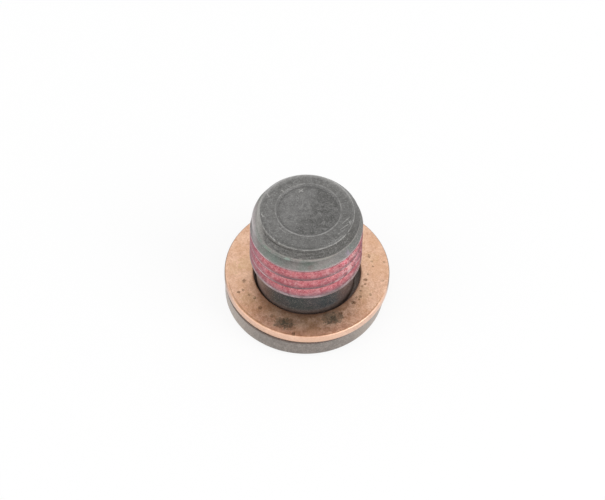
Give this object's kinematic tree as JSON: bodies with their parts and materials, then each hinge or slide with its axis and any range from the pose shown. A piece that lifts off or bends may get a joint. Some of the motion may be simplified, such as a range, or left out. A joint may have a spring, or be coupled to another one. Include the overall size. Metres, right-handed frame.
{
  "type": "transmission drain plug",
  "caption": "Round-headed threaded drain plug with a hexagon socket, a loose copper sealing washer on its neck and dry red sealant in the thread.",
  "frame": {"origin": "centre of the head's free face, on the plug's axis: the face that the plug stands on", "axes": "+Z along the axis, from the head towards the end of the thread; the picture looks from -Y and above"},
  "size_m": [0.0176, 0.0176, 0.0141],
  "materials": {
    "dark_steel": "dull grey, worn and scratched at the end and on the thread's crests",
    "copper": "satin copper, pale and stained with dark spots",
    "red_sealant": "dry, matt, worn pale along the crests"
  },
  "bodies": {
    "root": {"plug": "dark_steel", "sealing_washer": "copper", "thread_sealant": "red_sealant"}
  },
  "joints": []
}
